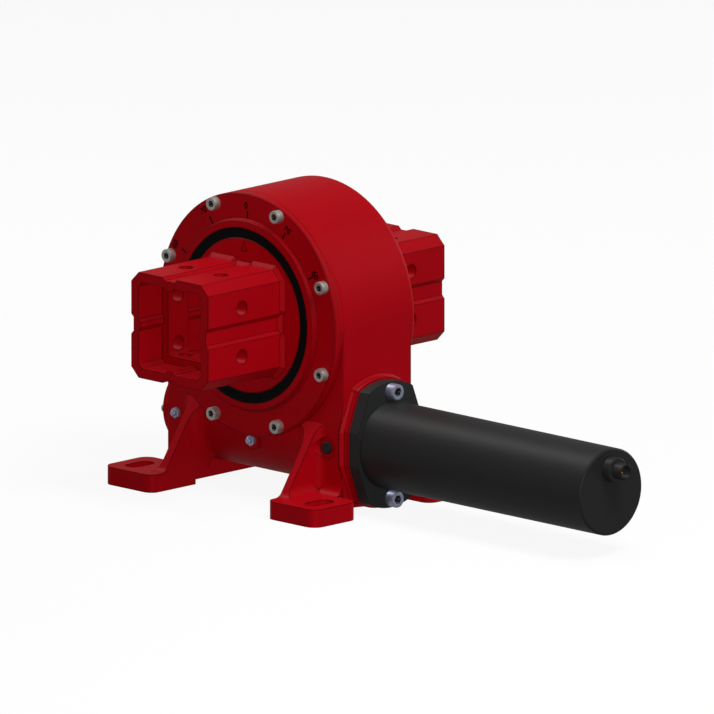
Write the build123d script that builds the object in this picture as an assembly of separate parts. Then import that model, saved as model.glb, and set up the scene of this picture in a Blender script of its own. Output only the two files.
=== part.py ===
"""Solar slew drive: a worm and wheel in a cast housing, driven by a DC gear motor.

Frame: origin on the floor at the centre of the four foot slots, +X along the slewing axis
towards the front coupler, +Y along the worm axis towards the motor, +Z up. Millimetres.
"""

from build123d import *
import math
import os

os.makedirs("parts", exist_ok=True)

# Axes
SLEW_Z = 181.7                      # slewing axis height above the floor
WORM_Z = 65.9                       # worm axis height above the floor

# Worm and wheel
MODULE = 3.2
TEETH = 61
PITCH_R = MODULE * TEETH / 2        # wheel pitch radius
WORM_PITCH_R = SLEW_Z - WORM_Z - PITCH_R
LEAD = math.pi * MODULE             # single start, right hand
LEAD_TAN = LEAD / (2 * math.pi * WORM_PITCH_R)
ADDENDUM = MODULE
DEDENDUM = 1.2 * MODULE
FLANK_TAN = math.tan(math.radians(20))
BACKLASH = 0.3                      # play on each flank
WHEEL_FACE = 30.0
THREAD_LENGTH = 5.5 * LEAD          # puts a thread crest at the wheel's centre plane

# Housing casting
HOUSING_R = 120.0
HOUSING_T = 96.0                    # drum, from the cover joint to the rear wall
EDGE_ROUND = 6.0
REAR_X = 55.3                       # outer face of the closed rear wall
REAR_ROUND = 5.0
LEG_FRONT_X = 45.0                  # front and rear planes of the legs
LEG_REAR_X = 48.5
LEG_ROUND = 1.5
CHAMBER_R = 104.0
SIDE_Y = 120.0                      # flat side walls
LEG_IN_Y = 78.0                     # inner planes of the legs
LEG_BOTTOM = 4.8
BARREL_R = 48.5                     # worm barrel between the legs
FLARE_R = 14.0                      # concave flare from barrel to legs
WORM_BORE_R = 24.0
BEARING_R = 31.0

# Feet
FOOT_T = 18.0
FOOT_X = 109.0
FOOT_Y = 145.0
FOOT_IN_X = 48.3                    # inner edge of a pad
FOOT_ROUND = 12.0
FOOT_IN_ROUND = 10.0
COVE_R = 9.5                        # root fillets of pads and ribs
SLOT_X = 80.5
SLOT_Y = 122.5
SLOT_W = 18.0
SLOT_L = 33.0
RIB_T = 9.5
RIB_LOW = (90.4, 18.0)              # rib slope line, (x, z)
RIB_HIGH = (45.0, 86.6)

# Covers
GASKET_T = 0.5
PLATE_T = 7.0
RIM_T = 5.0
RIM_R = 94.0
SEAL_R = 86.4
SLEEVE_R = 84.0
JOURNAL_R = 76.5
SLEEVE_X = 28.2                     # inner end of the sleeve
SEAL_SEAT_X = 52.0
COVER_SCREW_R = 112.7
COVER_SCREWS = 8

# Grease nipples, (x, y, z) of their seats on the barrel and a leg, and the vent plug, (y, z)
NIPPLES = [(49.5, 0.0, 56.2), (LEG_FRONT_X, -107.2, 66.3)]
NIPPLE_BOSS_R = 9.4
PLUG = (97.6, 62.8)
PLUG_SPOT_R = 10.5
PLUG_SPOT_X = 43.0

# Hubs and square couplers
HUB_IN_X = 24.0
HUB_FACE_X = 60.3
MOUTH_X = 162.5
COUPLER_W = 105.0
COUPLER_CHAMFER = 10.0
COUPLER_WALL = 10.0
GROOVE_W = 20.0
GROOVE_DEPTH = 3.2
LAND_T = 8.0
LAND_X = (102.0, 130.0)
TUBE_HOLE_X = 116.0
TUBE_HOLE_PITCH = 48.0
TUBE_HOLE_R = 7.25
HUB_FLOOR_X = 42.0
HUB_BOLT_R = 30.0
HUB_BOLTS = 6

# Worm shaft and its bearings
SHAFT_R = 15.0
BEARING_Y = 62.0
BEARING_W = 17.0
ROLLERS = 14
END_CAP_R = 41.0

# Gear motor
BOSS_Y = 127.8
FLANGE_T = 13.0
FLANGE_R = 62.3
FLANGE_HALF_W = 44.5
FLANGE_SHOULDER_Z = 16.6
FLANGE_TIP_X = 30.0
FLANGE_TIP_Z = 54.5
PILOT_R = 41.275                    # standard two-bolt pilot, 82.55 mm
FLANGE_BOLT_Z = 53.2                # standard two-bolt spacing, 106.4 mm
MOTOR_R = 43.0
MOTOR_END_Y = 441.8
CAN_WALL = 4.0
CONNECTOR_Z = 22.7
CONNECTOR_BASE_L = 9.5


def write(node, shape):
    """Writes one node's solids as its STEP file."""
    export_step(Compound(label=node, children=list(shape.solids())), f"parts/{node}.step")


def rod_x(x0, x1, y, z, r):
    """Round bar along X."""
    return Pos((x0 + x1) / 2, y, z) * Rot(0, 90, 0) * Cylinder(r, abs(x1 - x0))


def rod_y(y0, y1, x, z, r):
    """Round bar along Y."""
    return Pos(x, (y0 + y1) / 2, z) * Rot(90, 0, 0) * Cylinder(r, abs(y1 - y0))


def turned_slew(points):
    """Solid turned about the slewing axis from (x, radius) points."""
    face = Plane.XZ * make_face(Polyline(*points, close=True))
    return Pos(0, 0, SLEW_Z) * revolve(face, Axis.X)


def turned_worm(points):
    """Solid turned about the worm axis from (y, radius) points."""
    face = Plane.YZ * make_face(Polyline(*points, close=True))
    return Pos(0, 0, WORM_Z) * revolve(face, Axis.Y)


def mirror_x(shape):
    """The same shape at the rear of the drive."""
    return mirror(shape, about=Plane.YZ)


def around_slew(shape, count, start=0.0):
    """Copies of a shape, evenly spaced about the slewing axis."""
    step = 360 / count
    spins = [Rot(start + step * k, 0, 0) for k in range(count)]
    return [Pos(0, 0, SLEW_Z) * spin * Pos(0, 0, -SLEW_Z) * shape for spin in spins]


def around_worm(shape, count, start=0.0):
    """Copies of a shape, evenly spaced about the worm axis."""
    step = 360 / count
    spins = [Rot(0, start + step * k, 0) for k in range(count)]
    return [Pos(0, 0, WORM_Z) * spin * Pos(0, 0, -WORM_Z) * shape for spin in spins]


def flange_outline(grow=0.0):
    """Two-bolt flange outline about the worm axis, in a plane across Y."""
    half_w = FLANGE_HALF_W + grow
    tip_x = FLANGE_TIP_X + grow
    sides = Polygon(
        (half_w, FLANGE_SHOULDER_Z),
        (tip_x, FLANGE_TIP_Z),
        (tip_x, 80),
        (-tip_x, 80),
        (-tip_x, FLANGE_TIP_Z),
        (-half_w, FLANGE_SHOULDER_Z),
        (-half_w, -FLANGE_SHOULDER_Z),
        (-tip_x, -FLANGE_TIP_Z),
        (-tip_x, -80),
        (tip_x, -80),
        (tip_x, -FLANGE_TIP_Z),
        (half_w, -FLANGE_SHOULDER_Z),
        align=None,
    )
    return sides & Circle(FLANGE_R + grow)


def across_y(y):
    """Plane across the worm axis at y, its normal pointing to the motor."""
    return Plane(origin=(0, y, WORM_Z), x_dir=(-1, 0, 0), z_dir=(0, 1, 0))


def flare(side):
    """Concave flare that joins the barrel to one leg's inner plane and rib."""
    inner = side * (LEG_IN_Y - FLARE_R)
    outer = side * (LEG_IN_Y + 2)
    top = BARREL_R + FLARE_R
    centre = (inner, top)
    arc = CenterArc(centre, FLARE_R, 270, 90) if side > 0 else CenterArc(centre, FLARE_R, 180, 90)
    start = (inner, BARREL_R)
    end = (side * LEG_IN_Y, top)
    rest = Polyline(end, (outer, top), (outer, BARREL_R - 6), (inner, BARREL_R - 6), start)
    section = make_face([arc, rest])
    turned = Pos(0, 0, WORM_Z) * revolve(Plane.YZ * section, Axis.Y, 360)
    lower = turned & Pos(0, 0, WORM_Z - 100) * Box(300, 400, 200)
    upright = Plane(origin=(0, 0, WORM_Z), x_dir=(0, 1, 0), z_dir=(0, 0, -1)) * section
    upper = extrude(upright, amount=-(RIB_HIGH[1] - WORM_Z))
    return [lower, upper, mirror_x(upper)]


def rib_profile():
    """Side view in XZ of a rib on its pad, from the floor up to the cover's edge."""
    slope = (RIB_HIGH[1] - RIB_LOW[1]) / (RIB_HIGH[0] - RIB_LOW[0])
    top_x = RIB_HIGH[0] - 6
    top_z = RIB_HIGH[1] - 6 * slope
    rib = Polygon((30, 0), (RIB_LOW[0], 0), RIB_LOW, (top_x, top_z), (30, top_z), align=None)
    strip = Polygon((30, 0), (FOOT_X, 0), (FOOT_X, FOOT_T), (30, FOOT_T), align=None)
    side = rib + strip
    inner = [v for v in side.vertices() if math.dist((v.X, v.Y), RIB_LOW) < 0.1]
    return Plane.XZ * fillet(inner, FOOT_IN_ROUND)


def cove(radius):
    """Section of a concave corner fillet, its corner at the local origin."""
    square = Pos((radius - 1) / 2, (radius - 1) / 2) * Rectangle(radius + 1, radius + 1)
    return square - Pos(radius, radius) * Circle(radius)


def foot():
    """Front foot on the motor side: slotted pad, sloping rib and their root fillets."""
    root_x = LEG_FRONT_X - 5
    outline = Polygon(
        (root_x, LEG_IN_Y),
        (FOOT_X, LEG_IN_Y),
        (FOOT_X, FOOT_Y),
        (FOOT_IN_X, FOOT_Y),
        (FOOT_IN_X, SIDE_Y),
        (root_x, SIDE_Y),
        align=None,
    )
    outer = [v for v in outline.vertices() if v.Y > FOOT_Y - 1]
    outline = fillet(outer, FOOT_ROUND)
    inner = [v for v in outline.vertices() if v.X > FOOT_X - 1 and v.Y < LEG_IN_Y + 1]
    outline = fillet(inner, FOOT_IN_ROUND)
    side = extrude(rib_profile(), amount=-300)
    rib_y = LEG_IN_Y + RIB_T
    rib = extrude(outline, amount=200) & side & Pos(0, rib_y - 50, 0) * Box(400, 100, 400)
    wall_x = LEG_FRONT_X
    section = cove(COVE_R)
    upright = Plane(origin=(wall_x, rib_y, 0), x_dir=(1, 0, 0), z_dir=(0, 0, 1)) * section
    along_y = Plane(origin=(wall_x, 0, FOOT_T), x_dir=(0, 0, 1), z_dir=(0, 1, 0)) * section
    along_x = Plane(origin=(0, rib_y, FOOT_T), x_dir=(0, 1, 0), z_dir=(1, 0, 0)) * section
    pad = extrude(outline, amount=FOOT_T)
    coves = [
        extrude(upright, amount=RIB_HIGH[1]) & side,
        Pos(0, rib_y, 0) * extrude(along_y, amount=SIDE_Y - LEG_ROUND - rib_y),
        Pos(wall_x, 0, 0) * extrude(along_x, amount=60) & side,
    ]
    notch = Pos(FOOT_IN_X - 50, 0, 0) * Box(100, 400, 2 * LEG_BOTTOM)
    return pad + rib + coves - notch


def leg_block():
    """Straight-sided block under the drum, which the legs are cut from."""
    height = SLEW_Z - LEG_BOTTOM
    depth = LEG_FRONT_X + LEG_REAR_X
    centre = ((LEG_FRONT_X - LEG_REAR_X) / 2, 0, LEG_BOTTOM + height / 2)
    block = Pos(*centre) * Box(depth, 2 * SIDE_Y, height)
    corners = [e for e in block.edges().filter_by(Axis.Z) if e.center().X > 0]
    return fillet(corners, LEG_ROUND)


def drum():
    """Round body of the housing, open at the front and closed by a bored rear wall."""
    shell = rod_x(-REAR_X, HOUSING_T / 2, 0, SLEW_Z, HOUSING_R)
    front = [e for e in shell.edges() if e.center().X > HOUSING_T / 2 - 0.1]
    shell = fillet(front, EDGE_ROUND)
    rear = [e for e in shell.edges() if e.center().X < -REAR_X + 0.1]
    return fillet(rear, REAR_ROUND)


def rear_rim():
    """Raised rim round the rear hub, on the closed wall."""
    x2 = HOUSING_T / 2 + GASKET_T + PLATE_T + RIM_T
    return turned_slew(
        [
            (-REAR_X + 2, SEAL_R),
            (-x2, SEAL_R),
            (-x2, RIM_R - 1),
            (-x2 + 1, RIM_R),
            (-REAR_X - 1.2, RIM_R),
            (-REAR_X, RIM_R + 1.2),
            (-REAR_X + 2, RIM_R + 1.2),
        ]
    )


def housing():
    """Cast housing: wheel drum, legs, worm barrel, feet, bosses and machined bores."""
    body = drum() + leg_block()
    body -= Pos(0, 0, WORM_Z - 100) * Box(300, 2 * LEG_IN_Y, 200)
    body += rod_y(-LEG_IN_Y - 1, LEG_IN_Y + 1, 0, WORM_Z, BARREL_R)

    feet = [foot()]
    feet = feet + [mirror_x(f) for f in feet]
    feet = feet + [mirror(f, about=Plane.XZ) for f in feet]
    body = body + feet
    above = Pos(0, 0, LEG_BOTTOM + 100) * Box(400, 400, 200)
    under_slope = extrude(rib_profile(), amount=200, both=True) & above
    for side in (-1, 1):
        for piece in flare(side):
            body += piece & (under_slope + mirror_x(under_slope))

    body += extrude(across_y(SIDE_Y - 2) * flange_outline(1.8), amount=BOSS_Y - SIDE_Y + 2)
    root = extrude(across_y(SIDE_Y - 1) * flange_outline(5.8), amount=5, taper=45)
    body += root & above
    boss_x, boss_y, boss_z = NIPPLES[0]
    body += rod_x(0, boss_x, boss_y, boss_z, NIPPLE_BOSS_R)
    body = body + [rod_y(-SIDE_Y - 3, -SIDE_Y + 1, 0, WORM_Z, END_CAP_R)]
    body += rear_rim()

    body -= rod_x(HOUSING_T / 2, 80, 0, SLEW_Z, HOUSING_R + 0.3)
    body -= rod_x(-SLEEVE_X, 60, 0, SLEW_Z, CHAMBER_R)
    body -= rod_x(-70, -SLEEVE_X + 1, 0, SLEW_Z, SLEEVE_R)
    body -= rod_x(-70, -SEAL_SEAT_X, 0, SLEW_Z, SEAL_R)
    body -= rod_y(-BEARING_Y, BEARING_Y, 0, WORM_Z, WORM_BORE_R)
    body -= rod_y(-SIDE_Y - 5, -BEARING_Y, 0, WORM_Z, BEARING_R)
    body -= rod_y(BEARING_Y, BOSS_Y + 5, 0, WORM_Z, BEARING_R)
    body -= rod_y(BOSS_Y - 6.5, BOSS_Y + 5, 0, WORM_Z, PILOT_R)
    body = body - slot_cutters() - tapped_holes()
    body -= rod_x(PLUG_SPOT_X, 60, *PLUG, PLUG_SPOT_R)
    return body - [rod_x(27, PLUG_SPOT_X + 1, *PLUG, 5.0)]


def slot_cutters():
    """Slots of the four feet, long along X."""
    sketch = SlotOverall(SLOT_L, SLOT_W)
    cutter = extrude(sketch, amount=FOOT_T + 20, both=True)
    return [Pos(x, y, 0) * cutter for x in (-SLOT_X, SLOT_X) for y in (-SLOT_Y, SLOT_Y)]


def tapped_holes():
    """Tapped holes for cover screws, end cap screws, flange bolts and grease nipples."""
    cover = rod_x(HOUSING_T / 2 - 22, HOUSING_T / 2 + 1, 0, SLEW_Z + COVER_SCREW_R, 4.0)
    front = around_slew(cover, COVER_SCREWS, 22.5)
    cap = around_worm(rod_y(-SIDE_Y - 4, -SIDE_Y + 14, 36, WORM_Z, 3.0), 6)
    flange = [rod_y(106, BOSS_Y + 1, 0, WORM_Z + z, 5.0) for z in (-FLANGE_BOLT_Z, FLANGE_BOLT_Z)]
    nipples = [rod_x(x - 10, 60, y, z, 3.0) for x, y, z in NIPPLES]
    return front + cap + flange + nipples


def cover():
    """Front cover: bolted plate with a raised rim and a sleeve that carries the bush."""
    x0 = HOUSING_T / 2 + GASKET_T
    x1 = x0 + PLATE_T
    x2 = x1 + RIM_T
    points = [
        (SLEEVE_X, SLEEVE_R),
        (SEAL_SEAT_X, SLEEVE_R),
        (SEAL_SEAT_X, SEAL_R),
        (x2, SEAL_R),
        (x2, RIM_R - 1),
        (x2 - 1, RIM_R),
        (x1 + 1.2, RIM_R),
        (x1, RIM_R + 1.2),
        (x1, HOUSING_R - 1),
        (x1 - 1, HOUSING_R),
        (x0, HOUSING_R),
        (x0, CHAMBER_R - 0.1),
        (SLEEVE_X, CHAMBER_R - 0.1),
    ]
    holes = around_slew(rod_x(40, 70, 0, SLEW_Z + COVER_SCREW_R, 4.5), COVER_SCREWS, 22.5)
    return turned_slew(points) - holes


def gasket():
    """Flat paper gasket under the front cover."""
    x0 = HOUSING_T / 2
    ring = turned_slew(
        [
            (x0, CHAMBER_R + 0.4),
            (x0 + GASKET_T, CHAMBER_R + 0.4),
            (x0 + GASKET_T, HOUSING_R - 0.5),
            (x0, HOUSING_R - 0.5),
        ]
    )
    holes = around_slew(rod_x(40, 70, 0, SLEW_Z + COVER_SCREW_R, 4.5), COVER_SCREWS, 22.5)
    return ring - holes


def socket_screw_x(x_face, y, z, shank_r, shank_l, head_r, head_h, hex_w, hex_depth):
    """Socket-head screw along X, its head standing on the plane at x_face."""
    head = rod_x(x_face, x_face + head_h, y, z, head_r)
    rim = [e for e in head.edges() if e.center().X > x_face + head_h - 0.1]
    head = chamfer(rim, 0.6)
    screw = head + rod_x(x_face - shank_l, x_face + 1, y, z, shank_r)
    hexagon = RegularPolygon(hex_w / 2, 6, major_radius=False)
    top = Plane(origin=(x_face + head_h, y, z), x_dir=(0, 1, 0), z_dir=(1, 0, 0))
    return screw - extrude(top * hexagon, amount=-hex_depth)


def cover_screws():
    """Eight M8 socket-head screws of the front cover."""
    x_face = HOUSING_T / 2 + GASKET_T + PLATE_T
    screw = socket_screw_x(x_face, 0, SLEW_Z + COVER_SCREW_R, 3.9, 25, 6.5, 7.6, 6, 4)
    return Compound(children=around_slew(screw, COVER_SCREWS, 22.5))


def seal():
    """Lip seal ring between the front cover and the hub."""
    points = [(52.1, JOURNAL_R + 0.05), (60.2, JOURNAL_R + 0.05), (60.2, SEAL_R), (52.1, SEAL_R)]
    return turned_slew(points)


def bush():
    """Flanged bronze bush that carries the hub and takes the wheel's thrust."""
    points = [
        (24.3, JOURNAL_R + 0.05),
        (51.8, JOURNAL_R + 0.05),
        (51.8, SLEEVE_R),
        (SLEEVE_X, SLEEVE_R),
        (SLEEVE_X, 91.5),
        (24.3, 91.5),
    ]
    return turned_slew(points)


def wheel():
    """Worm wheel: toothed rim on a solid disc with faces for the two hubs."""
    blank = turned_slew(
        [
            (-WHEEL_FACE / 2, 92),
            (-WHEEL_FACE / 2, PITCH_R + ADDENDUM - 1),
            (-WHEEL_FACE / 2 + 1, PITCH_R + ADDENDUM),
            (WHEEL_FACE / 2 - 1, PITCH_R + ADDENDUM),
            (WHEEL_FACE / 2, PITCH_R + ADDENDUM - 1),
            (WHEEL_FACE / 2, 92),
            (HUB_IN_X, 92),
            (HUB_IN_X, 18),
            (-HUB_IN_X, 18),
            (-HUB_IN_X, 92),
        ]
    )
    half = LEAD / 4 + BACKLASH / 2
    bottom = PITCH_R - DEDENDUM
    top = PITCH_R + ADDENDUM + 2
    low = half - DEDENDUM * FLANK_TAN
    high = half + (ADDENDUM + 2) * FLANK_TAN
    run = WHEEL_FACE + 4
    start = (-run / 2, -run / 2 * LEAD_TAN, SLEW_Z)
    section = Polygon((-low, -bottom), (low, -bottom), (high, -top), (-high, -top), align=None)
    plane = Plane(origin=start, x_dir=(0, 1, 0), z_dir=(1, 0, 0))
    length = run * math.hypot(1, LEAD_TAN)
    gap = extrude(plane * section, amount=length, dir=(1, LEAD_TAN, 0))
    bolt = rod_x(6, HUB_IN_X + 1, 0, SLEW_Z + HUB_BOLT_R, 5.0)
    bolts = around_slew(bolt, HUB_BOLTS)
    bolts = bolts + [mirror_x(b) for b in bolts]
    return blank - around_slew(gap, TEETH) - bolts


def coupler_outline(inset):
    """Square coupler outline with chamfered corners and a groove on each side."""
    half = COUPLER_W / 2 - inset
    cut = COUPLER_CHAMFER - inset * (2 - math.sqrt(2))
    square = Rectangle(2 * half, 2 * half)
    square = chamfer(square.vertices(), cut)
    wide = GROOVE_W / 2 - inset * (math.sqrt(2) - 1)
    narrow = wide - GROOVE_DEPTH
    groove = Polygon(
        (-wide - 1, half + 1),
        (-wide, half),
        (-narrow, half - GROOVE_DEPTH),
        (narrow, half - GROOVE_DEPTH),
        (wide, half),
        (wide + 1, half + 1),
        align=None,
    )
    return square - [Rot(0, 0, 90 * k) * groove for k in range(4)]


def hub():
    """Front hub: journal disc and square coupler cast in one, cored from the mouth."""
    plane = Plane(origin=(0, 0, SLEW_Z), x_dir=(0, 1, 0), z_dir=(1, 0, 0))
    disc = turned_slew(
        [
            (HUB_IN_X, 0),
            (HUB_IN_X, JOURNAL_R),
            (HUB_FACE_X - 0.8, JOURNAL_R),
            (HUB_FACE_X, JOURNAL_R - 0.8),
            (HUB_FACE_X, 0),
        ]
    )
    coupler = extrude(plane.offset(HUB_IN_X + 10) * coupler_outline(0), amount=MOUTH_X - HUB_IN_X - 10)
    body = disc + coupler
    body += extrude(plane.offset(HUB_FACE_X - 0.5) * coupler_outline(-4.5), amount=5, taper=45)
    core = extrude(plane.offset(HUB_FLOOR_X) * coupler_outline(COUPLER_WALL), amount=MOUTH_X)
    land_w = COUPLER_W - 2 * (COUPLER_WALL + LAND_T)
    frame = Rectangle(COUPLER_W - 15, COUPLER_W - 15) - RectangleRounded(land_w, land_w, 4)
    land = extrude(plane.offset(LAND_X[0]) * frame, amount=LAND_X[1] - LAND_X[0])
    body = body - core + land
    hole_y = Pos(TUBE_HOLE_X, 0, SLEW_Z) * Rot(90, 0, 0) * Cylinder(TUBE_HOLE_R, 160)
    hole_z = Pos(TUBE_HOLE_X, 0, SLEW_Z) * Cylinder(TUBE_HOLE_R, 160)
    for shift in (-TUBE_HOLE_PITCH / 2, TUBE_HOLE_PITCH / 2):
        body = body - [Pos(0, 0, shift) * hole_y, Pos(0, shift, 0) * hole_z]
    bolt = rod_x(HUB_IN_X - 1, HUB_FLOOR_X + 1, 0, SLEW_Z + HUB_BOLT_R, 5.5)
    return body - around_slew(bolt, HUB_BOLTS)


def hub_bolts():
    """M10 cap screws that hold the front hub on the wheel, inside the coupler."""
    z = SLEW_Z + HUB_BOLT_R
    screw = socket_screw_x(HUB_FLOOR_X, 0, z, 4.9, 33, 8, 10, 8, 5)
    return Compound(children=around_slew(screw, HUB_BOLTS))


def worm():
    """Worm shaft: single-start right-hand thread on a stepped shaft, bored for the motor."""
    core_r = WORM_PITCH_R - DEDENDUM
    helix = Helix(pitch=LEAD, height=THREAD_LENGTH, radius=WORM_PITCH_R)
    half = LEAD / 4 - BACKLASH / 2
    outer = half - ADDENDUM * FLANK_TAN
    inner = half + (DEDENDUM + 0.6) * FLANK_TAN
    section = Polygon(
        (ADDENDUM, outer),
        (ADDENDUM, -outer),
        (-DEDENDUM - 0.6, -inner),
        (-DEDENDUM - 0.6, inner),
        align=None,
    )
    at_start = Plane(origin=helix @ 0, x_dir=(1, 0, 0), z_dir=helix % 0)
    thread = sweep(at_start * section, path=helix, is_frenet=True)
    thread = Pos(0, -THREAD_LENGTH / 2, WORM_Z) * Rot(-90, 0, 0) * thread
    shaft = turned_worm(
        [
            (-BEARING_Y - BEARING_W - 3, 0),
            (-BEARING_Y - BEARING_W - 3, SHAFT_R - 1),
            (-BEARING_Y - BEARING_W - 2, SHAFT_R),
            (-BEARING_Y, SHAFT_R),
            (-BEARING_Y, 18),
            (-38, 18),
            (-34, core_r),
            (34, core_r),
            (38, 18),
            (BEARING_Y, 18),
            (BEARING_Y, SHAFT_R),
            (111, SHAFT_R),
            (112, SHAFT_R - 1),
            (112, 0),
        ]
    )
    bore = rod_y(88, 113, 0, WORM_Z, 8.0)
    keyway = Pos(0, 101, WORM_Z + 8) * Box(5, 26, 4.6)
    return shaft + thread - [bore, keyway]


def bearing_cups():
    """Outer rings of the two taper roller bearings."""
    y0 = BEARING_Y + 0.5
    y1 = BEARING_Y + 15
    cup = turned_worm([(y0, 28.2), (y0, BEARING_R), (y1, BEARING_R), (y1, 24.6)])
    return Compound(children=[cup, mirror(cup, about=Plane.XZ)])


def bearing_cones():
    """Inner rings of the two taper roller bearings, with their guide ribs."""
    y0 = BEARING_Y
    y1 = BEARING_Y + BEARING_W
    points = [
        (y0, SHAFT_R),
        (y0, 22.4),
        (y0 + 2.2, 22.4),
        (y0 + 2.2, 20.8),
        (y1 - 1.6, 18.48),
        (y1 - 1.6, 19.0),
        (y1, 19.0),
        (y1, SHAFT_R),
    ]
    cone = turned_worm(points)
    return Compound(children=[cone, mirror(cone, about=Plane.XZ)])


def roller_sets():
    """Tapered rollers of both bearings, each set held by the two rings of its cage."""
    y0 = BEARING_Y
    low = Vector(0, y0 + 3.6, WORM_Z + 23.99)
    high = Vector(0, y0 + 14.0, WORM_Z + 21.785)
    along = Plane(origin=(low + high) / 2, x_dir=(1, 0, 0), z_dir=high - low)
    roller = along * Cone(3.3, 2.94, (high - low).length)
    ring_a = turned_worm([(y0 + 2.6, 22.9), (y0 + 2.6, 25.4), (y0 + 4.2, 25.1), (y0 + 4.2, 22.6)])
    ring_b = turned_worm([(y0 + 13.4, 20.6), (y0 + 13.4, 23.1), (y0 + 14.8, 22.8), (y0 + 14.8, 20.3)])
    cage = ring_a + ring_b + around_worm(roller, ROLLERS)
    return Compound(children=[cage, mirror(cage, about=Plane.XZ)])


def end_cap():
    """Cap over the worm bore on the side away from the motor."""
    y0 = -SIDE_Y - 3
    spigot_y = -(BEARING_Y + BEARING_W - 2) - 0.1
    points = [
        (spigot_y, 25.5),
        (spigot_y, BEARING_R - 0.05),
        (y0, BEARING_R - 0.05),
        (y0, END_CAP_R),
        (y0 - 7, END_CAP_R),
        (y0 - 8, END_CAP_R - 1),
        (y0 - 8, 0),
        (y0 + 2, 0),
        (y0 + 2, 25.5),
    ]
    holes = around_worm(rod_y(y0 - 9, y0 + 1, 36, WORM_Z, 3.3), 6)
    return turned_worm(points) - holes


def cap_screws():
    """Six M6 low button screws of the end cap."""
    y0 = -SIDE_Y - 11
    head = rod_y(y0 - 3, y0, 36, WORM_Z, 4.6)
    rim = [e for e in head.edges() if e.center().Y < y0 - 2.9]
    screw = chamfer(rim, 1.2) + rod_y(y0 - 1, y0 + 20, 36, WORM_Z, 2.9)
    top = Plane(origin=(36, y0 - 3, WORM_Z), x_dir=(1, 0, 0), z_dir=(0, -1, 0))
    screw -= extrude(top * RegularPolygon(2, 6, major_radius=False), amount=-2)
    return Compound(children=around_worm(screw, 6))


def snap_ring():
    """Snap ring that holds the motor-side bearing in its bore."""
    ring = turned_worm([(77.2, 27), (77.2, 30.9), (79, 30.9), (79, 27)])
    return ring - Pos(0, 78, WORM_Z + 29) * Box(8, 4, 10)


def shaft_seal():
    """Rubber shaft seal on the motor side of the worm."""
    return turned_worm([(84, SHAFT_R + 0.05), (84, 30.9), (92, 30.9), (92, SHAFT_R + 0.05)])


def motor_flange():
    """Cast two-bolt flange of the gear motor, with its locating pilot."""
    body = extrude(across_y(BOSS_Y) * flange_outline(), amount=FLANGE_T)
    body += rod_y(BOSS_Y - 6, BOSS_Y + 1, 0, WORM_Z, PILOT_R - 0.05)
    holes = [rod_y(120, 150, 0, WORM_Z + z, 5.5) for z in (-FLANGE_BOLT_Z, FLANGE_BOLT_Z)]
    return body - rod_y(120, 150, 0, WORM_Z, 12) - holes


def flange_bolts():
    """Two M10 cap screws through the motor flange."""
    y0 = BOSS_Y + FLANGE_T
    screws = []
    for z in (WORM_Z - FLANGE_BOLT_Z, WORM_Z + FLANGE_BOLT_Z):
        head = rod_y(y0, y0 + 10, 0, z, 8)
        head = chamfer([e for e in head.edges() if e.center().Y > y0 + 9.9], 0.8)
        screw = head + rod_y(y0 - 34, y0 + 1, 0, z, 4.9)
        top = Plane(origin=(0, y0 + 10, z), x_dir=(1, 0, 0), z_dir=(0, 1, 0))
        hexagon = RegularPolygon(4, 6, major_radius=False)
        screws.append(screw - extrude(top * hexagon, amount=-5))
    return Compound(children=screws)


def motor_can():
    """Drawn steel can of the gear motor, closed at the connector end."""
    y0 = BOSS_Y + FLANGE_T
    points = [
        (y0, MOTOR_R - CAN_WALL),
        (y0, MOTOR_R),
        (MOTOR_END_Y - 1.5, MOTOR_R),
        (MOTOR_END_Y, MOTOR_R - 1.5),
        (MOTOR_END_Y, 0),
        (MOTOR_END_Y - CAN_WALL, 0),
        (MOTOR_END_Y - CAN_WALL, MOTOR_R - CAN_WALL),
    ]
    return turned_worm(points) - rod_y(430, 450, 0, WORM_Z + CONNECTOR_Z, 5)


def motor_core():
    """Sealed gear stages and motor windings as one packed block inside the can."""
    y0 = BOSS_Y + FLANGE_T
    return rod_y(y0 + 0.2, MOTOR_END_Y - 12, 0, WORM_Z, MOTOR_R - CAN_WALL - 0.2)


def output_shaft():
    """Keyed output shaft of the gear motor, turning with the worm."""
    shaft = rod_y(89, BOSS_Y + FLANGE_T - 0.1, 0, WORM_Z, 7.95)
    return shaft - Pos(0, 101.5, WORM_Z + 7.5) * Box(5, 23, 4.4)


def shaft_key():
    """Parallel key between the output shaft and the worm."""
    return Pos(0, 101.5, WORM_Z + 7.75) * Box(4.9, 22, 4.6)


def connector_base():
    """Round base of the motor connector, screwed into the can's end."""
    z = WORM_Z + CONNECTOR_Z
    top = MOTOR_END_Y + CONNECTOR_BASE_L
    base = rod_y(MOTOR_END_Y, top, 0, z, 12.5)
    base = chamfer([e for e in base.edges() if e.center().Y > top - 0.1], 0.8)
    return base + rod_y(MOTOR_END_Y - 9, MOTOR_END_Y + 1, 0, z, 4.9)


def connector_barrel():
    """Keyed hollow barrel of the motor connector."""
    z = WORM_Z + CONNECTOR_Z
    y0 = MOTOR_END_Y + CONNECTOR_BASE_L
    barrel = rod_y(y0, y0 + 11, 0, z, 8) - rod_y(y0 - 1, y0 + 12, 0, z, 6.2)
    return barrel - rod_y(y0 + 6, y0 + 12, 2.4, z - 6.6, 1.7)


def connector_pins():
    """Insulating insert with four contact pins at the bottom of the barrel."""
    z = WORM_Z + CONNECTOR_Z
    y0 = MOTOR_END_Y + CONNECTOR_BASE_L
    insert = rod_y(y0, y0 + 1.5, 0, z, 6.1)
    for dx in (-2.4, 2.4):
        for dz in (-2.4, 2.4):
            insert += rod_y(y0 + 1, y0 + 4.5, dx, z + dz, 0.9)
    return insert


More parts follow.
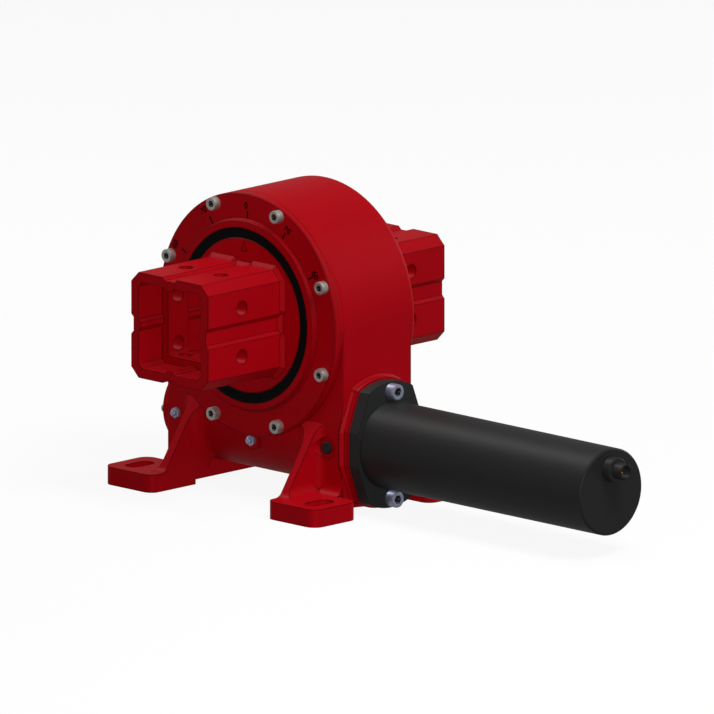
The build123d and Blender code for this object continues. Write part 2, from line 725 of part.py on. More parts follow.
def grease_nipples():
    """Grease nipples: threaded stem, hexagon and rounded nozzle."""
    nipples = []
    for x, y, z in NIPPLES:
        plane = Plane(origin=(x, y, z), x_dir=(0, 1, 0), z_dir=(1, 0, 0))
        hexagon = RegularPolygon(5, 6, major_radius=False)
        body = extrude(plane * hexagon, amount=3.2) + rod_x(x - 8, x + 1, y, z, 2.9)
        body += Pos(x + 4.2, y, z) * Sphere(2.6)
        nipples.append(body)
    return Compound(children=nipples)


def vent_plug():
    """Black threaded plug sunk in its spot face on the motor-side leg."""
    top = PLUG_SPOT_X + 3.4
    head = rod_x(PLUG_SPOT_X, top, *PLUG, 6.0)
    head = chamfer([e for e in head.edges() if e.center().X > top - 0.1], 0.6)
    return head + rod_x(PLUG_SPOT_X - 10, PLUG_SPOT_X + 1, *PLUG, 4.9)


write("housing", housing())
write("front_cover", cover())
write("front_cover_gasket", gasket())
write("front_cover_screws", cover_screws())
for name, make in (
    ("hub_seal", seal),
    ("hub_bush", bush),
    ("coupler_hub", hub),
    ("hub_bolts", hub_bolts),
):
    piece = make()
    write("front_" + name, piece)
    write("rear_" + name, mirror_x(piece))
write("worm_wheel", wheel())
write("worm_shaft", worm())
write("worm_bearing_cups", bearing_cups())
write("worm_bearing_cones", bearing_cones())
write("worm_bearing_rollers", roller_sets())
write("worm_end_cap", end_cap())
write("worm_end_cap_screws", cap_screws())
write("worm_snap_ring", snap_ring())
write("worm_shaft_seal", shaft_seal())
write("motor_flange", motor_flange())
write("motor_flange_bolts", flange_bolts())
write("motor_can", motor_can())
write("motor_core", motor_core())
write("motor_output_shaft", output_shaft())
write("motor_shaft_key", shaft_key())
write("motor_connector_base", connector_base())
write("motor_connector_barrel", connector_barrel())
write("motor_connector_pins", connector_pins())
write("grease_nipples", grease_nipples())
write("vent_plug", vent_plug())
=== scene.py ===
"""Solar slew drive, dressed: paint, fasteners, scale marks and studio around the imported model."""

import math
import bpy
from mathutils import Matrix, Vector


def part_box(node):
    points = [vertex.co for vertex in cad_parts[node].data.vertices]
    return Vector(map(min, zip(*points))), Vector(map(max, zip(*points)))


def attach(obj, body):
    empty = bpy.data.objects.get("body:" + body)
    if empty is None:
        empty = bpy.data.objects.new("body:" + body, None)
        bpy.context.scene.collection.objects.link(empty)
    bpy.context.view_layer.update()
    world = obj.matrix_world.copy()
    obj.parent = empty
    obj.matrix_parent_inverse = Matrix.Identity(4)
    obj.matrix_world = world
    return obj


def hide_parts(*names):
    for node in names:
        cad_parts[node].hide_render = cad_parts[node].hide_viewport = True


bl_info = {
    "name": "Solar Slew Drive",
    "version": (1, 0, 0),
    "blender": (4, 5, 0),
    "location": "View3D > Sidebar > Slew Drive",
    "description": "Finishes and small fittings of a worm gear slew drive",
    "category": "Object",
}

import bmesh
import bpy
from mathutils import Matrix, Vector

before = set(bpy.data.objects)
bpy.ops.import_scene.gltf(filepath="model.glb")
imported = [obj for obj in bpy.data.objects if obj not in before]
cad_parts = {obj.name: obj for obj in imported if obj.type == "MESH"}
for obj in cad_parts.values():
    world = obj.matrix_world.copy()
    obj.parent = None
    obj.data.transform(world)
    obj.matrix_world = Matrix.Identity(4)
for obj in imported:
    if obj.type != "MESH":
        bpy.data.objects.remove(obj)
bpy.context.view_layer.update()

MM = 0.001
SLEW_Z = (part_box("worm_wheel")[0].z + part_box("worm_wheel")[1].z) / 2
WORM_Z = (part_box("motor_can")[0].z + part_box("motor_can")[1].z) / 2
PLATE_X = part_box("front_cover")[1].x - 5 * MM      # outer face of the cover plate
DISC_X = 60.3 * MM                                 # outer face of the hub disc
COVER_SCREWS = 8
SCREW_CIRCLE = 112.7 * MM                          # radius of the cover screws' circle
FLANGE_BOLT_Z = 53.2 * MM                          # flange bolts above and below the worm axis
NIPPLES = ((49.5 * MM, 0, 56.2 * MM), (45 * MM, -107.2 * MM, 66.3 * MM))
TICK_RADIUS = 99.4 * MM                            # middle of a tick, from the slewing axis
NUMERAL_RADIUS = 105 * MM                          # foot of a numeral, from the slewing axis
# Angle of each numeral, then how far it is shifted round and out, in mm. Placed one by one.
NUMERALS = ((-60, -2, 5), (-30, -5, 4), (0, -2, 0), (30, 1, -1), (60, 0, -1))
MARK_LIFT = 0.04 * MM                              # marks stand this far above the cover
POINTER_RADIUS = 63.5 * MM                         # foot of the pointer, from the slewing axis
POINTER_HEIGHT = 11 * MM
VIEW_TURN = math.radians(134.85)                   # the camera stands here, seen from above
VIEW_RISE = math.radians(12.5)
VIEW_CENTRE = Vector((-0.0668, 0.0280, 0.1248))
DRIVE_CENTRE = Vector((0, 0.1, 0.12))              # the lamps aim at it
UPRIGHT = Matrix(((0, 0, 1, 0), (1, 0, 0, 0), (0, 1, 0, 0), (0, 0, 0, 1)))  # flat to facing +X


# Name, place in metres, size in metres, power in watts, and whether it casts a shadow.
LAMPS = (
    ("key", (0.18, 1.58, 2.12), 0.9, 21.0, True),
    ("top", (0.0, 0.1, 2.7), 1.2, 10.5, True),
    ("fill", (1.8, 2.4, 0.87), 1.2, 29.0, False),
    ("band", (0.1, -1.7, 2.0), 0.7, 20.0, False),
    ("rear", (-2.5, 0.5, 0.9), 1.2, 16.0, False),
)


# ---------------------------------------------------------------- settings


class SlewDriveFinishes(bpy.types.PropertyGroup):
    """Colours of the drive's finishes, as sRGB hex values."""

    enamel: bpy.props.StringProperty(
        name="Casting enamel", description="Red enamel on the castings", default="B20010"
    )
    coupler: bpy.props.StringProperty(
        name="Coupler enamel", description="Red enamel on the output couplers", default="B20010"
    )
    motor: bpy.props.StringProperty(
        name="Motor coat", description="Black powder coat of the motor can", default="282828"
    )
    flange: bpy.props.StringProperty(
        name="Flange coat", description="Black coat of the motor flange", default="2B2C2C"
    )
    zinc: bpy.props.StringProperty(
        name="Zinc plate", description="Plated screws of the covers", default="B4B0AA"
    )
    blue_zinc: bpy.props.StringProperty(
        name="Blue zinc plate", description="Blue-passivated bolts and nipples", default="A6AAC2"
    )
    # near-black painted shade for the scale and pointer marks, standing in for the shade in
    # engraved grooves
    mark: bpy.props.StringProperty(
        name="Scale marks", description="Paint in the engraved marks", default="240003"
    )


class SlewDriveSizes(bpy.types.PropertyGroup):
    """Sizes of the small fittings, in metres."""

    tick_length: bpy.props.FloatProperty(
        name="Tick length", description="Radial length of a scale mark",
        default=8 * MM, unit="LENGTH",
    )
    tick_width: bpy.props.FloatProperty(
        name="Tick width", description="Width of a scale mark", default=1.9 * MM, unit="LENGTH"
    )
    numeral_height: bpy.props.FloatProperty(
        name="Numeral height", description="Height of the scale numerals",
        default=6.5 * MM, unit="LENGTH",
    )
    pointer_width: bpy.props.FloatProperty(
        name="Pointer width", description="Width of the hub's pointer mark",
        default=8.5 * MM, unit="LENGTH",
    )
    wide_view: bpy.props.FloatProperty(
        name="View width", description="Width that the camera takes in",
        default=0.6919, unit="LENGTH",
    )


# ---------------------------------------------------------------- materials


def linear(code):
    """Linear RGBA of an sRGB hex colour."""
    parts = [int(code[i : i + 2], 16) / 255 for i in (0, 2, 4)]
    return tuple(c / 12.92 if c <= 0.04045 else ((c + 0.055) / 1.055) ** 2.4 for c in parts) + (1,)


def add_node(tree, kind, inputs=None, **settings):
    """Adds a node, sets its properties, and sets or links its inputs."""
    made = tree.nodes.new(kind)
    for name, value in settings.items():
        setattr(made, name, value)
    for key, value in (inputs or {}).items():
        if isinstance(value, bpy.types.NodeSocket):
            tree.links.new(value, made.inputs[key])
        else:
            made.inputs[key].default_value = value
    return made


def new_material(name):
    """Empty node material with an output; returns it and its tree."""
    made = bpy.data.materials.new(name)
    made.use_nodes = True
    made.node_tree.nodes.clear()
    return made, made.node_tree


def finish_shader(tree, **sockets):
    """Principled shader wired to the output."""
    names = {key.replace("_", " "): value for key, value in sockets.items()}
    shader = add_node(tree, "ShaderNodeBsdfPrincipled", names)
    add_node(tree, "ShaderNodeOutputMaterial", {"Surface": shader.outputs[0]})
    return shader


def mix_colours(tree, mask, first, second):
    """Colour that goes from the first to the second as the mask goes from 0 to 1."""
    made = add_node(tree, "ShaderNodeMix", {"Factor": mask}, data_type="RGBA")
    for socket, colour in ((made.inputs[6], first), (made.inputs[7], second)):
        if isinstance(colour, bpy.types.NodeSocket):
            tree.links.new(colour, socket)
        else:
            socket.default_value = colour
    return made.outputs[2]


def toned(code, gain):
    """Linear colour of a hex code, made lighter or darker."""
    return tuple(min(1.0, c * gain) for c in linear(code)[:3]) + (1.0,)


def shade_pair(tree, code, mask, low, high):
    """Colour between a darker and a lighter tone of one hex colour, by a 0 to 1 mask."""
    return mix_colours(tree, mask, toned(code, low), toned(code, high))


def object_noise(tree, size, detail=2.0, rough=0.5):
    """Noise on object coordinates whose features are about size metres across."""
    place = add_node(tree, "ShaderNodeTexCoord").outputs["Object"]
    made = add_node(
        tree,
        "ShaderNodeTexNoise",
        {"Vector": place, "Scale": 1 / size, "Detail": detail, "Roughness": rough},
    )
    return made.outputs["Fac"]


def edge_normal(tree, radius):
    """Normal that rounds sharp edges over a radius, as paint and tumbling do."""
    return add_node(tree, "ShaderNodeBevel", {"Radius": radius}, samples=4).outputs[0]


def edge_mask(tree, rounded, start, end):
    """1 along sharp edges and 0 elsewhere, from how far the rounded normal leans."""
    flat = add_node(tree, "ShaderNodeNewGeometry").outputs["Normal"]
    lean = add_node(
        tree, "ShaderNodeVectorMath", {0: rounded, 1: flat}, operation="DOT_PRODUCT"
    ).outputs["Value"]
    return add_node(
        tree,
        "ShaderNodeMapRange",
        {"Value": lean, "From Min": start, "From Max": end, "To Min": 0.0, "To Max": 1.0},
    ).outputs[0]


def cast_enamel(name, code):
    """Alkyd enamel over sand-cast iron: semi-gloss, with cast grain, and painted shade as dark
    lines along its sharp edges.
    """
    made, tree = new_material(name)
    cloud = object_noise(tree, 45 * MM, 3.0)          # uneven film thickness
    grain = object_noise(tree, 1.6 * MM, 3.0, 0.6)    # sand grain, about 0.4 mm, drawn coarser
    peel = object_noise(tree, 5 * MM, 1.0)            # orange peel of the brushed coat
    tone = shade_pair(tree, code, cloud, 0.93, 1.06)
    rounded = edge_normal(tree, 1.0 * MM)
    edges = edge_mask(tree, edge_normal(tree, 2.0 * MM), 0.99, 0.93)
    # painted shade: the colour goes near-black along every sharp edge
    painted_edge_shade = mix_colours(tree, edges, tone, toned(code, 0.12))
    low = add_node(
        tree,
        "ShaderNodeBump",
        {"Strength": 0.10, "Distance": 0.25 * MM, "Height": peel, "Normal": rounded},
    ).outputs[0]
    fine = add_node(
        tree,
        "ShaderNodeBump",
        {"Strength": 0.12, "Distance": 0.12 * MM, "Height": grain, "Normal": low},
    ).outputs[0]
    rough = add_node(
        tree, "ShaderNodeMapRange", {"Value": grain, "To Min": 0.42, "To Max": 0.56}
    ).outputs[0]
    shader = finish_shader(tree, Base_Color=painted_edge_shade, Roughness=rough, Normal=fine)
    shader.inputs["Specular IOR Level"].default_value = 0.06
    shader.inputs["IOR"].default_value = 1.5
    return made


def powder_coat(name, code, gloss):
    """Polyester powder coat: satin, with a fine leathery peel, and painted shade as dark lines
    along its sharp edges.
    """
    made, tree = new_material(name)
    cloud = object_noise(tree, 60 * MM, 2.0)
    peel = object_noise(tree, 1.2 * MM, 2.0)
    tone = shade_pair(tree, code, cloud, 0.92, 1.08)
    rounded = edge_normal(tree, 0.8 * MM)
    edges = edge_mask(tree, edge_normal(tree, 1.6 * MM), 0.99, 0.92)
    # painted shade: the colour goes darker along every sharp edge
    painted_edge_shade = mix_colours(tree, edges, tone, toned(code, 0.3))
    fine = add_node(
        tree,
        "ShaderNodeBump",
        {"Strength": 0.10, "Distance": 0.1 * MM, "Height": peel, "Normal": rounded},
    ).outputs[0]
    rough = add_node(
        tree, "ShaderNodeMapRange", {"Value": peel, "To Min": gloss, "To Max": gloss + 0.12}
    ).outputs[0]
    shader = finish_shader(tree, Base_Color=painted_edge_shade, Roughness=rough, Normal=fine)
    shader.inputs["Specular IOR Level"].default_value = 0.1
    shader.inputs["IOR"].default_value = 1.5
    return made


def zinc_plate(name, code):
    """Electroplated zinc: bright, slightly cloudy, with turning marks, and painted shade as dark
    lines along its sharp edges.
    """
    made, tree = new_material(name)
    cloud = object_noise(tree, 3 * MM, 2.0)
    turning = object_noise(tree, 0.5 * MM, 1.0)
    tone = shade_pair(tree, code, cloud, 0.88, 1.05)
    rounded = edge_normal(tree, 0.35 * MM)
    edges = edge_mask(tree, edge_normal(tree, 0.9 * MM), 0.97, 0.85)
    # painted shade: the colour goes dark along every sharp edge
    painted_edge_shade = mix_colours(tree, edges, tone, toned(code, 0.2))
    fine = add_node(
        tree,
        "ShaderNodeBump",
        {"Strength": 0.08, "Distance": 0.05 * MM, "Height": turning, "Normal": rounded},
    ).outputs[0]
    rough = add_node(
        tree, "ShaderNodeMapRange", {"Value": cloud, "To Min": 0.38, "To Max": 0.52}
    ).outputs[0]
    finish_shader(tree, Base_Color=painted_edge_shade, Roughness=rough, Normal=fine, Metallic=0.85)
    return made


def moulded_rubber(name, code):
    """Moulded nitrile rubber: matt black, with a dusty bloom."""
    made, tree = new_material(name)
    bloom = object_noise(tree, 12 * MM, 3.0)
    skin = object_noise(tree, 0.8 * MM, 2.0)
    tone = shade_pair(tree, code, bloom, 0.8, 1.3)
    fine = add_node(
        tree, "ShaderNodeBump", {"Strength": 0.15, "Distance": 0.08 * MM, "Height": skin}
    ).outputs[0]
    rough = add_node(
        tree, "ShaderNodeMapRange", {"Value": bloom, "To Min": 0.62, "To Max": 0.78}
    ).outputs[0]
    shader = finish_shader(tree, Base_Color=tone, Roughness=rough, Normal=fine)
    shader.inputs["Specular IOR Level"].default_value = 0.05
    shader.inputs["IOR"].default_value = 1.52
    return made


def turned_metal(name, code, gloss):
    """Machined bare metal, with lathe marks about 0.4 mm apart."""
    made, tree = new_material(name)
    stain = object_noise(tree, 20 * MM, 3.0)
    cut = object_noise(tree, 0.8 * MM, 2.0)
    tone = shade_pair(tree, code, stain, 0.85, 1.08)
    fine = add_node(
        tree, "ShaderNodeBump", {"Strength": 0.12, "Distance": 0.05 * MM, "Height": cut}
    ).outputs[0]
    rough = add_node(
        tree, "ShaderNodeMapRange", {"Value": stain, "To Min": gloss, "To Max": gloss + 0.15}
    ).outputs[0]
    finish_shader(tree, Base_Color=tone, Roughness=rough, Normal=fine, Metallic=1.0)
    return made


# ---------------------------------------------------------------- mesh helpers


def turned(profile, steps, hexagons=()):
    """Bmesh turned about Z from (radius, height) points.

    The points in hexagons become a hexagon, with the radius as half its width over flats."""
    bm = bmesh.new()
    verts = [bm.verts.new((r, 0, h)) for r, h in profile]
    edges = [bm.edges.new(pair) for pair in zip(verts, verts[1:])]
    bmesh.ops.spin(
        bm, geom=verts + edges, cent=(0, 0, 0), axis=(0, 0, 1), angle=math.tau,
        steps=steps, use_merge=True, use_duplicate=False,
    )
    bmesh.ops.remove_doubles(bm, verts=bm.verts, dist=1e-6)
    for vert in bm.verts:
        radius = vert.co.xy.length
        if any(math.isclose(radius, r, abs_tol=1e-6) and math.isclose(vert.co.z, h, abs_tol=1e-6)
               for r, h in hexagons):
            turn = math.atan2(vert.co.y, vert.co.x) % (math.pi / 3) - math.pi / 6
            vert.co.xy *= 1 / math.cos(turn)
    bmesh.ops.recalc_face_normals(bm, faces=bm.faces)
    return bm


def piece(name, bm, materials, body, smooth=35):
    """Object at the origin from a bmesh, with its finishes, riding on a body."""
    mesh = bpy.data.meshes.new(name)
    bm.to_mesh(mesh)
    bm.free()
    for material in materials:
        mesh.materials.append(material)
    made = bpy.data.objects.new(name, mesh)
    bpy.context.scene.collection.objects.link(made)
    mesh.shade_smooth()
    mesh.set_sharp_from_angle(angle=math.radians(smooth))
    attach(made, body)
    return made


def append(target, source, place):
    """Adds a placed copy of one bmesh to another."""
    mesh = bpy.data.meshes.new("placed")
    source.to_mesh(mesh)
    mesh.transform(place)
    target.from_mesh(mesh)
    bpy.data.meshes.remove(mesh)


def pointing(direction, at):
    """Matrix that turns local Z to a direction and moves it to a point."""
    turn = Vector((0, 0, 1)).rotation_difference(Vector(direction)).to_matrix().to_4x4()
    return Matrix.Translation(at) @ turn


def on_slew(angle):
    """Turn about the slewing axis, in degrees from the top towards the motor."""
    centre = Matrix.Translation((0, 0, SLEW_Z))
    return centre @ Matrix.Rotation(math.radians(-angle), 4, "X")


def socket_head(head_r, head_h, hex_r, hex_depth):
    """Socket cap screw head with a hexagon socket, whose faces take the second material, a dark
    painted shade.
    """
    rim = hex_r * 1.28
    lip = head_h - 0.5 * MM
    floor = head_h - hex_depth
    profile = [
        (0, 0),
        (head_r, 0),
        (head_r, head_h - 0.9 * MM),
        (head_r - 0.25 * MM, head_h - 0.25 * MM),
        (head_r - 0.9 * MM, head_h),
        (rim, head_h),
        (hex_r, lip),
        (hex_r, floor),
        (0, floor - 0.8 * MM),
    ]
    made = turned(profile, 48, [(hex_r, lip), (hex_r, floor)])
    for face in made.faces:
        centre = face.calc_center_median()
        narrow = centre.xy.length < hex_r * 1.1
        sunk = 0.1 * MM < centre.z < head_h - 0.4 * MM
        face.material_index = 1 if narrow and sunk else 0
    return made


def paint_nodes(names, material):
    """Gives CAD nodes a finish."""
    for name in names:
        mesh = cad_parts[name].data
        mesh.materials.clear()
        mesh.materials.append(material)


# ---------------------------------------------------------------- operators


class SLEWDRIVE_OT_castings(bpy.types.Operator):
    """Red enamel on the housing, covers, end cap and couplers"""

    bl_idname = "slewdrive.castings"
    bl_label = "Paint Castings"

    def execute(self, context):
        look = context.scene.slew_drive_finishes
        enamel = cast_enamel("alkyd_enamel_on_cast_iron", look.enamel)
        paint_nodes(["housing", "front_cover", "worm_end_cap"], enamel)
        coupler = cast_enamel("alkyd_enamel_on_couplers", look.coupler)
        paint_nodes(["front_coupler_hub", "rear_coupler_hub"], coupler)
        return {"FINISHED"}


class SLEWDRIVE_OT_motor(bpy.types.Operator):
    """Powder coat on the gear motor, its flange and connector"""

    bl_idname = "slewdrive.motor"
    bl_label = "Coat Motor"

    def execute(self, context):
        look = context.scene.slew_drive_finishes
        paint_nodes(["motor_can"], powder_coat("powder_coat_on_steel_can", look.motor, 0.42))
        paint_nodes(["motor_flange"], powder_coat("powder_coat_on_flange", look.flange, 0.5))
        plastic = powder_coat("glass_filled_nylon", "2C2C2C", 0.4)
        paint_nodes(["motor_connector_base", "motor_connector_barrel", "vent_plug"], plastic)
        return {"FINISHED"}


class SLEWDRIVE_OT_inner(bpy.types.Operator):
    """Finishes of the seals, bushes, bearings, gears and other inner pieces"""

    bl_idname = "slewdrive.inner"
    bl_label = "Finish Inner Pieces"

    def execute(self, context):
        rubber = moulded_rubber("moulded_nitrile_rubber", "080A0A")
        paint_nodes(["front_hub_seal", "rear_hub_seal", "worm_shaft_seal"], rubber)
        fibre = moulded_rubber("pressed_fibre_gasket", "4A3E30")
        paint_nodes(["front_cover_gasket"], fibre)
        bronze = turned_metal("turned_bearing_bronze", "C09050", 0.3)
        paint_nodes(["front_hub_bush", "rear_hub_bush", "motor_connector_pins"], bronze)
        iron = turned_metal("hobbed_ductile_iron", "8A8C90", 0.35)
        paint_nodes(["worm_wheel", "motor_core"], iron)
        steel = turned_metal("ground_bearing_steel", "B8BABF", 0.2)
        names = ["worm_shaft", "worm_bearing_cups", "worm_bearing_cones", "worm_bearing_rollers"]
        paint_nodes(names + ["worm_snap_ring", "motor_output_shaft", "motor_shaft_key"], steel)
        return {"FINISHED"}


class SLEWDRIVE_OT_screws(bpy.types.Operator):
    """Socket screws of the cover and motor flange, and the plating of all screws"""

    bl_idname = "slewdrive.screws"
    bl_label = "Add Screws"

    def execute(self, context):
        look = context.scene.slew_drive_finishes
        zinc = zinc_plate("zinc_plated_steel", look.zinc)
        blue = zinc_plate("blue_passivated_zinc", look.blue_zinc)
        # painted shade: the faces inside the hexagon sockets are coloured dark
        socket = moulded_rubber("hexagon_socket_painted_shade", "2A2826")
        paint_nodes(["front_hub_bolts", "rear_hub_bolts", "worm_end_cap_screws"], zinc)
        head = socket_head(6.5 * MM, 7.6 * MM, 3.0 * MM, 4 * MM)
        group = bmesh.new()
        seat = pointing((1, 0, 0), (PLATE_X, 0, SCREW_CIRCLE))
        step = 360 / COVER_SCREWS
        for k in range(COVER_SCREWS):
            append(group, head, on_slew((k + 0.5) * step) @ seat)
        head.free()
        made = piece("front_cover_screw_heads", group, (zinc, socket), "frame")
        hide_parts("front_cover_screws")
        head = socket_head(8 * MM, 10 * MM, 4 * MM, 5 * MM)
        group = bmesh.new()
        face_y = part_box("motor_flange")[1].y
        for shift in (-FLANGE_BOLT_Z, FLANGE_BOLT_Z):
            append(group, head, pointing((0, 1, 0), (0, face_y, WORM_Z + shift)))
        head.free()
        made = piece("motor_flange_bolt_heads", group, (blue, socket), "frame")
        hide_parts("motor_flange_bolts")
        return {"FINISHED"}


class SLEWDRIVE_OT_nipples(bpy.types.Operator):
    """Grease nipples: hexagon, collar and nozzle ball"""

    bl_idname = "slewdrive.nipples"
    bl_label = "Add Grease Nipples"

    def execute(self, context):
        look = context.scene.slew_drive_finishes
        blue = zinc_plate("blue_passivated_zinc_nipple", look.blue_zinc)
        profile = [
            (0, 0),
            (4.9 * MM, 0),
            (4.9 * MM, 2.8 * MM),
            (4.2 * MM, 3.3 * MM),
            (2.5 * MM, 3.4 * MM),
            (2.2 * MM, 4.6 * MM),
            (2.9 * MM, 5.4 * MM),
            (3.0 * MM, 6.0 * MM),
            (2.3 * MM, 6.7 * MM),
            (0.8 * MM, 6.8 * MM),
            (0, 6.3 * MM),
        ]
        nozzle = turned(profile, 36, [(4.9 * MM, 0), (4.9 * MM, 2.8 * MM)])
        group = bmesh.new()
        for at in NIPPLES:
            append(group, nozzle, pointing((1, 0, 0), at))
        nozzle.free()
        made = piece("grease_nipple_bodies", group, (blue,), "frame")
        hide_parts("grease_nipples")
        return {"FINISHED"}


class SLEWDRIVE_OT_scale(bpy.types.Operator):
    """Degree scale on the front cover: thin marks in a near-black painted shade that stands in for
    engraved grooves
    """

    bl_idname = "slewdrive.scale"
    bl_label = "Add Degree Scale"

    def execute(self, context):
        sizes = context.scene.slew_drive_sizes
        # painted shade: the marks are thin raised pieces coloured near-black in place of the shade
        # in engraved grooves
        mark = moulded_rubber("engraving_painted_shade", context.scene.slew_drive_finishes.mark)
        tick = bmesh.new()
        bmesh.ops.create_cube(tick, size=1.0)
        bmesh.ops.scale(
            tick, vec=(0.12 * MM, sizes.tick_width, sizes.tick_length), verts=tick.verts
        )
        upright = [e for e in tick.edges if abs(e.verts[0].co.x - e.verts[1].co.x) > 0.05 * MM]
        bmesh.ops.bevel(
            tick, geom=upright, offset=0.4 * MM, segments=2, profile=0.5,
            affect="EDGES", material=-1,
        )
        group = bmesh.new()
        seat = Matrix.Translation((PLATE_X + MARK_LIFT, 0, TICK_RADIUS))
        for angle, around, out in NUMERALS:
            append(group, tick, on_slew(angle) @ seat)
            number = self.numeral(str(abs(angle)), sizes.numeral_height)
            shift = Matrix.Translation((0, around * MM, out * MM))
            append(group, number, on_slew(angle) @ shift)
            number.free()
        tick.free()
        piece("cover_degree_scale", group, (mark,), "frame")
        return {"FINISHED"}

    def numeral(self, text, height):
        """Numeral at the top of the scale, before it is turned to its place."""
        words = bpy.data.curves.new("numeral", type="FONT")
        words.body = text
        words.size = height * 1.37            # the font's digits are 0.73 of its size
        words.align_x = "CENTER"
        words.extrude = 0.06 * MM
        words.offset = 0.32 * MM
        shown = bpy.data.objects.new("numeral", words)
        bpy.context.scene.collection.objects.link(shown)
        mesh = bpy.data.meshes.new_from_object(shown)
        bpy.data.objects.remove(shown)
        bpy.data.curves.remove(words)
        mesh.transform(Matrix.Translation((PLATE_X + MARK_LIFT, 0, NUMERAL_RADIUS)) @ UPRIGHT)
        made = bmesh.new()
        made.from_mesh(mesh)
        bpy.data.meshes.remove(mesh)
        return made


class SLEWDRIVE_OT_pointer(bpy.types.Operator):
    """Pointer triangle on the front hub disc: a thin outline in a near-black painted shade that
    stands in for an engraved groove
    """

    bl_idname = "slewdrive.pointer"
    bl_label = "Add Pointer"

    def execute(self, context):
        sizes = context.scene.slew_drive_sizes
        # painted shade: the outline is coloured near-black in place of the shade in an engraved
        # groove
        mark = moulded_rubber("pointer_painted_shade", context.scene.slew_drive_finishes.mark)
        bm = bmesh.new()
        bmesh.ops.create_circle(bm, cap_ends=True, segments=3, radius=1.0)
        bmesh.ops.scale(      # a triangle of radius 1 is sqrt(3) wide and 1.5 high
            bm, vec=(sizes.pointer_width / math.sqrt(3), POINTER_HEIGHT / 1.5, 1), verts=bm.verts
        )
        bmesh.ops.transform(bm, matrix=UPRIGHT, verts=bm.verts)
        low = min(v.co.z for v in bm.verts)
        bmesh.ops.translate(
            bm, vec=(DISC_X + 0.02 * MM, 0, SLEW_Z + POINTER_RADIUS - low), verts=bm.verts
        )
        rim = bmesh.ops.inset_region(
            bm, faces=bm.faces[:], thickness=1.4 * MM, use_boundary=True
        )
        inner = [f for f in bm.faces if f not in rim["faces"]]
        bmesh.ops.delete(bm, geom=inner, context="FACES")
        raised = bmesh.ops.extrude_face_region(bm, geom=bm.faces[:])
        tops = [v for v in raised["geom"] if isinstance(v, bmesh.types.BMVert)]
        bmesh.ops.translate(bm, vec=(0.1 * MM, 0, 0), verts=tops)
        bmesh.ops.recalc_face_normals(bm, faces=bm.faces)
        piece("hub_pointer_mark", bm, (mark,), "output")
        return {"FINISHED"}


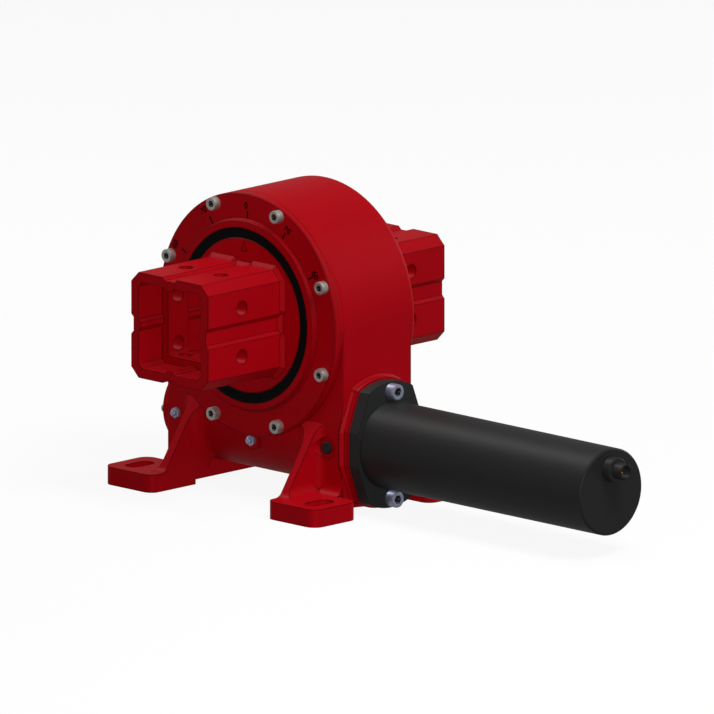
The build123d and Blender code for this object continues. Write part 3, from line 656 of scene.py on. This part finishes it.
class SLEWDRIVE_OT_studio(bpy.types.Operator):
    """Pale floor, soft lights and the camera"""

    bl_idname = "slewdrive.studio"
    bl_label = "Set Up Studio"

    def execute(self, context):
        self.floor()
        self.world(context.scene)
        for lamp in LAMPS:
            self.lamp(*lamp)
        self.camera(context.scene)
        context.scene.view_settings.view_transform = "Standard"
        return {"FINISHED"}

    def floor(self):
        """Wide pale floor that shows white to the eye and keeps a faint shadow."""
        bm = bmesh.new()
        bmesh.ops.create_grid(bm, x_segments=1, y_segments=1, size=6.0)
        mesh = bpy.data.meshes.new("studio_floor")
        bm.to_mesh(mesh)
        bm.free()
        made, tree = new_material("painted_studio_floor")
        seen = add_node(tree, "ShaderNodeLightPath")
        camera = seen.outputs["Is Camera Ray"]
        paint = mix_colours(tree, camera, linear("919191"), linear("FFFFFF"))
        shader = add_node(
            tree, "ShaderNodeBsdfDiffuse", {"Color": paint, "Roughness": 0.9}
        )
        glow = add_node(tree, "ShaderNodeEmission", {"Color": (1, 1, 1, 1), "Strength": 1.0})
        gloss = add_node(
            tree, "ShaderNodeMath", {0: seen.outputs["Is Glossy Ray"], 1: 0.3}, operation="MULTIPLY"
        ).outputs[0]
        share = add_node(
            tree,
            "ShaderNodeMath",
            {0: camera, 1: 0.86, 2: gloss},
            operation="MULTIPLY_ADD",
        )
        mix = add_node(tree, "ShaderNodeMixShader", {"Fac": share.outputs[0]})
        tree.links.new(shader.outputs[0], mix.inputs[1])
        tree.links.new(glow.outputs[0], mix.inputs[2])
        add_node(tree, "ShaderNodeOutputMaterial", {"Surface": mix.outputs[0]})
        mesh.materials.append(made)
        floor = bpy.data.objects.new("studio_floor", mesh)
        bpy.context.scene.collection.objects.link(floor)

    def world(self, scene):
        """Surroundings that are white to the eye, dim in gloss and dimmer still as light."""
        world = bpy.data.worlds.new("studio")
        world.use_nodes = True
        scene.world = world
        tree = world.node_tree
        tree.nodes.clear()
        seen = add_node(tree, "ShaderNodeLightPath")
        gloss = add_node(
            tree,
            "ShaderNodeMath",
            {0: seen.outputs["Is Glossy Ray"], 1: 0.25},
            operation="MULTIPLY",
        ).outputs[0]
        both = add_node(
            tree,
            "ShaderNodeMath",
            {0: seen.outputs["Is Camera Ray"], 1: gloss},
            operation="MAXIMUM",
        ).outputs[0]
        level = add_node(
            tree, "ShaderNodeMapRange", {"Value": both, "To Min": 0.1, "To Max": 1.0}
        )
        sky = add_node(
            tree, "ShaderNodeBackground", {"Color": (1, 1, 1, 1), "Strength": level.outputs[0]}
        )
        add_node(tree, "ShaderNodeOutputWorld", {"Surface": sky.outputs[0]})

    def lamp(self, name, at, size, power, shadow):
        """Square soft lamp that faces the drive."""
        light = bpy.data.lights.new(name, type="AREA")
        light.size = size
        light.energy = power
        light.use_shadow = shadow
        made = bpy.data.objects.new(name, light)
        made.location = at
        aim = DRIVE_CENTRE - Vector(at)
        made.rotation_euler = aim.to_track_quat("-Z", "Y").to_euler()
        bpy.context.scene.collection.objects.link(made)

    def camera(self, scene):
        """Parallel view from the front and the motor's side, a little from above."""
        data = bpy.data.cameras.new("view")
        data.type = "ORTHO"
        data.ortho_scale = scene.slew_drive_sizes.wide_view
        made = bpy.data.objects.new("view", data)
        flat = math.cos(VIEW_RISE)
        back = Vector(
            (math.sin(VIEW_TURN) * flat, -math.cos(VIEW_TURN) * flat, math.sin(VIEW_RISE))
        )
        made.location = VIEW_CENTRE + 3 * back
        made.rotation_euler = (-back).to_track_quat("-Z", "Y").to_euler()
        scene.collection.objects.link(made)
        scene.camera = made


class SLEWDRIVE_PT_sidebar(bpy.types.Panel):
    """Lists the drive's finishes and pieces"""

    bl_label = "Slew Drive"
    bl_idname = "SLEWDRIVE_PT_sidebar"
    bl_space_type = "VIEW_3D"
    bl_region_type = "UI"
    bl_category = "Slew Drive"

    def draw(self, context):
        layout = self.layout
        for group in (context.scene.slew_drive_finishes, context.scene.slew_drive_sizes):
            box = layout.box()
            for name in group.bl_rna.properties.keys():
                if name not in ("rna_type", "name"):
                    box.prop(group, name)
        for maker in MAKERS:
            layout.operator(maker.bl_idname)


MAKERS = (
    SLEWDRIVE_OT_studio,
    SLEWDRIVE_OT_castings,
    SLEWDRIVE_OT_motor,
    SLEWDRIVE_OT_inner,
    SLEWDRIVE_OT_screws,
    SLEWDRIVE_OT_nipples,
    SLEWDRIVE_OT_scale,
    SLEWDRIVE_OT_pointer,
)
CLASSES = (SlewDriveFinishes, SlewDriveSizes) + MAKERS + (SLEWDRIVE_PT_sidebar,)


def register():
    """Registers the add-on's classes and settings."""
    for cls in CLASSES:
        bpy.utils.register_class(cls)
    bpy.types.Scene.slew_drive_finishes = bpy.props.PointerProperty(type=SlewDriveFinishes)
    bpy.types.Scene.slew_drive_sizes = bpy.props.PointerProperty(type=SlewDriveSizes)


def unregister():
    """Removes the add-on's classes and settings."""
    del bpy.types.Scene.slew_drive_sizes
    del bpy.types.Scene.slew_drive_finishes
    for cls in reversed(CLASSES):
        bpy.utils.unregister_class(cls)


def main():
    """Builds the dressed drive and its studio."""
    register()
    bpy.ops.slewdrive.studio()
    bpy.ops.slewdrive.castings()
    bpy.ops.slewdrive.motor()
    bpy.ops.slewdrive.inner()
    bpy.ops.slewdrive.screws()
    bpy.ops.slewdrive.nipples()
    bpy.ops.slewdrive.scale()
    bpy.ops.slewdrive.pointer()


if __name__ == "__main__":
    main()
